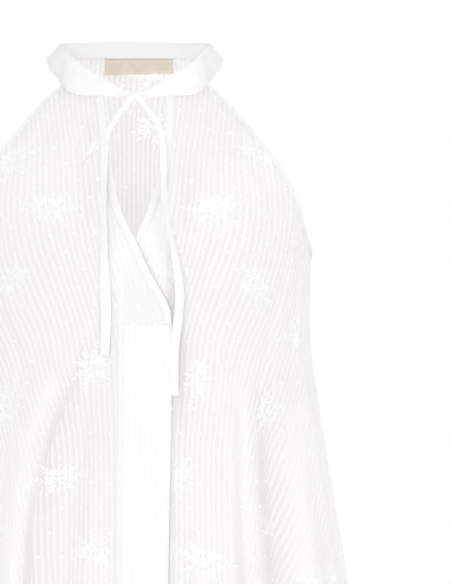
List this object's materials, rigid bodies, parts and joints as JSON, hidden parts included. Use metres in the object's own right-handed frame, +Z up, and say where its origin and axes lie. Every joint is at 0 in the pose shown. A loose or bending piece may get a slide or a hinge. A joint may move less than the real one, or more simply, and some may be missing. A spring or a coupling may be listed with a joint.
{
  "type": "asymmetric halter-neck top",
  "caption": "Sleeveless halter-neck top with a tied stand collar, a V slit, a covered front band and a flared hem that dips at the back.",
  "frame": {"origin": "middle of the neck, level with the collar's seam at the back, where the wearer's neck and shoulders hold the top", "axes": "+X to the wearer's left, -Y out of the front, +Z up"},
  "size_m": [0.4346, 0.3265, 0.7041],
  "materials": {
    "striped_voile": "sheer white cotton voile with woven stripes, small clipped dots and white sprigs",
    "plain_batiste": "plain white batiste, doubled",
    "tie_cloth": "plain white batiste, folded flat",
    "label_weave": "beige woven label, blank"
  },
  "bodies": {
    "root": {"front_right": "striped_voile", "front_left": "striped_voile", "back": "striped_voile", "collar": "plain_batiste", "placket": "plain_batiste", "slit_band_right": "plain_batiste", "slit_band_left": "plain_batiste", "armhole_band_right": "plain_batiste", "armhole_band_left": "plain_batiste", "tie_knot": "tie_cloth", "tie_tail_right": "tie_cloth", "tie_tail_left": "tie_cloth", "neck_label": "label_weave"}
  },
  "joints": []
}
